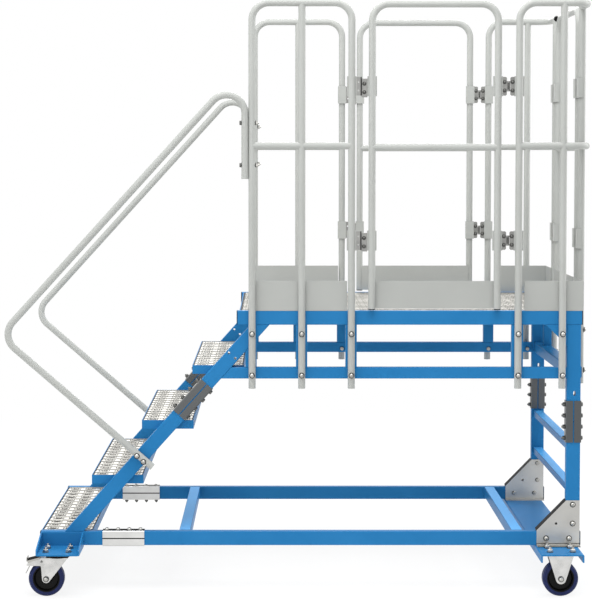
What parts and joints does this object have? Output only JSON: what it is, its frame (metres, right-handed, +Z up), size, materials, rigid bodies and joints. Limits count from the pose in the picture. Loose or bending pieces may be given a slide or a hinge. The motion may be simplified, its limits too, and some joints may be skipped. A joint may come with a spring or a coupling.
{
  "type": "mobile platform stairs",
  "caption": "Mobile work platform on castors, with a railed stair at one end, guard rails with toe boards and self-closing side and rear gates.",
  "frame": {"origin": "on the floor, under the centre of the whole object's box", "axes": "+X from the foot of the stair to the rear, +Y across to the far side, +Z up"},
  "size_m": [2.08, 1.158, 2.1],
  "materials": {
    "blue_paint": "satin",
    "grey_paint": "satin",
    "zinc_plated_steel": "satin",
    "galvanised_steel": "matt",
    "tyre_rubber": "matt",
    "black_nylon": "matt",
    "black_rubber": "matt"
  },
  "bodies": {
    "frame": {"base_cross_tubes": "blue_paint", "base_gussets": "zinc_plated_steel", "base_rails": "blue_paint", "base_splices": "zinc_plated_steel", "end_caps": "black_nylon", "front_castor_brackets": "blue_paint", "front_castor_heads": "zinc_plated_steel", "gate_stops": "black_rubber", "guard_corner_far": "grey_paint", "guard_corner_near": "grey_paint", "guard_fittings": "zinc_plated_steel", "guard_front_far": "grey_paint", "guard_front_near": "grey_paint", "guard_sleeves": "grey_paint", "handrail_far": "grey_paint", "handrail_near": "grey_paint", "ladder_rungs": "blue_paint", "leg_splices": "zinc_plated_steel", "lower_rails": "blue_paint", "platform_corner_gussets": "blue_paint", "platform_cross_members": "blue_paint", "platform_deck": "galvanised_steel", "platform_posts": "blue_paint", "rear_castor_channel": "blue_paint", "rear_castor_forks": "zinc_plated_steel", "rear_legs": "blue_paint", "stringer_splices": "zinc_plated_steel", "stringers": "blue_paint", "toe_boards_corner": "grey_paint", "toe_boards_front": "grey_paint", "top_rails": "blue_paint", "tread_gratings": "galvanised_steel", "tread_trays": "blue_paint"},
    "gate_near": {"gate_near_board": "grey_paint", "gate_near_fittings": "zinc_plated_steel", "gate_near_sleeves": "grey_paint", "gate_near_tube": "grey_paint"},
    "gate_far": {"gate_far_board": "grey_paint", "gate_far_fittings": "zinc_plated_steel", "gate_far_sleeves": "grey_paint", "gate_far_tube": "grey_paint"},
    "gate_rear": {"gate_rear_board": "grey_paint", "gate_rear_fittings": "zinc_plated_steel", "gate_rear_sleeves": "grey_paint", "gate_rear_tube": "grey_paint"},
    "castor_front_near": {"fork_front_near": "zinc_plated_steel", "brake_pedal_near": "zinc_plated_steel"},
    "castor_front_far": {"fork_front_far": "zinc_plated_steel", "brake_pedal_far": "zinc_plated_steel"},
    "wheel_front_near": {"tyre_front_near": "tyre_rubber", "hub_front_near": "black_nylon"},
    "wheel_front_far": {"tyre_front_far": "tyre_rubber", "hub_front_far": "black_nylon"},
    "wheel_rear_near": {"tyre_rear_near": "tyre_rubber", "hub_rear_near": "black_nylon"},
    "wheel_rear_far": {"tyre_rear_far": "tyre_rubber", "hub_rear_far": "black_nylon"}
  },
  "joints": [
    {"name": "gate_near_hinge", "type": "hinge", "parent": "frame", "child": "gate_near", "pos_m": [0.7435, -0.433, 1.5225], "axis": [0, 0, -1], "range_deg": [0, 90], "stiffness_Nm_per_rad": 1.5},
    {"name": "gate_far_hinge", "type": "hinge", "parent": "frame", "child": "gate_far", "pos_m": [0.7435, 0.433, 1.5225], "axis": [0, 0, -1], "range_deg": [-90, 0], "stiffness_Nm_per_rad": 1.5},
    {"name": "gate_rear_hinge", "type": "hinge", "parent": "frame", "child": "gate_rear", "pos_m": [1.0195, -0.258, 1.5225], "axis": [0, 0, -1], "range_deg": [-90, 0], "stiffness_Nm_per_rad": 1.5},
    {"name": "castor_near_swivel", "type": "hinge", "parent": "frame", "child": "castor_front_near", "pos_m": [-0.846, -0.504, 0.145], "axis": [0, 0, 1], "continuous": true},
    {"name": "wheel_front_near_spin", "type": "hinge", "parent": "castor_front_near", "child": "wheel_front_near", "pos_m": [-0.886, -0.504, 0.0625], "axis": [0, 1, 0], "continuous": true},
    {"name": "wheel_rear_near_spin", "type": "hinge", "parent": "frame", "child": "wheel_rear_near", "pos_m": [0.925, -0.504, 0.0625], "axis": [0, 1, 0], "continuous": true},
    {"name": "castor_far_swivel", "type": "hinge", "parent": "frame", "child": "castor_front_far", "pos_m": [-0.846, 0.504, 0.145], "axis": [0, 0, 1], "continuous": true},
    {"name": "wheel_front_far_spin", "type": "hinge", "parent": "castor_front_far", "child": "wheel_front_far", "pos_m": [-0.886, 0.504, 0.0625], "axis": [0, 1, 0], "continuous": true},
    {"name": "wheel_rear_far_spin", "type": "hinge", "parent": "frame", "child": "wheel_rear_far", "pos_m": [0.925, 0.504, 0.0625], "axis": [0, 1, 0], "continuous": true}
  ]
}
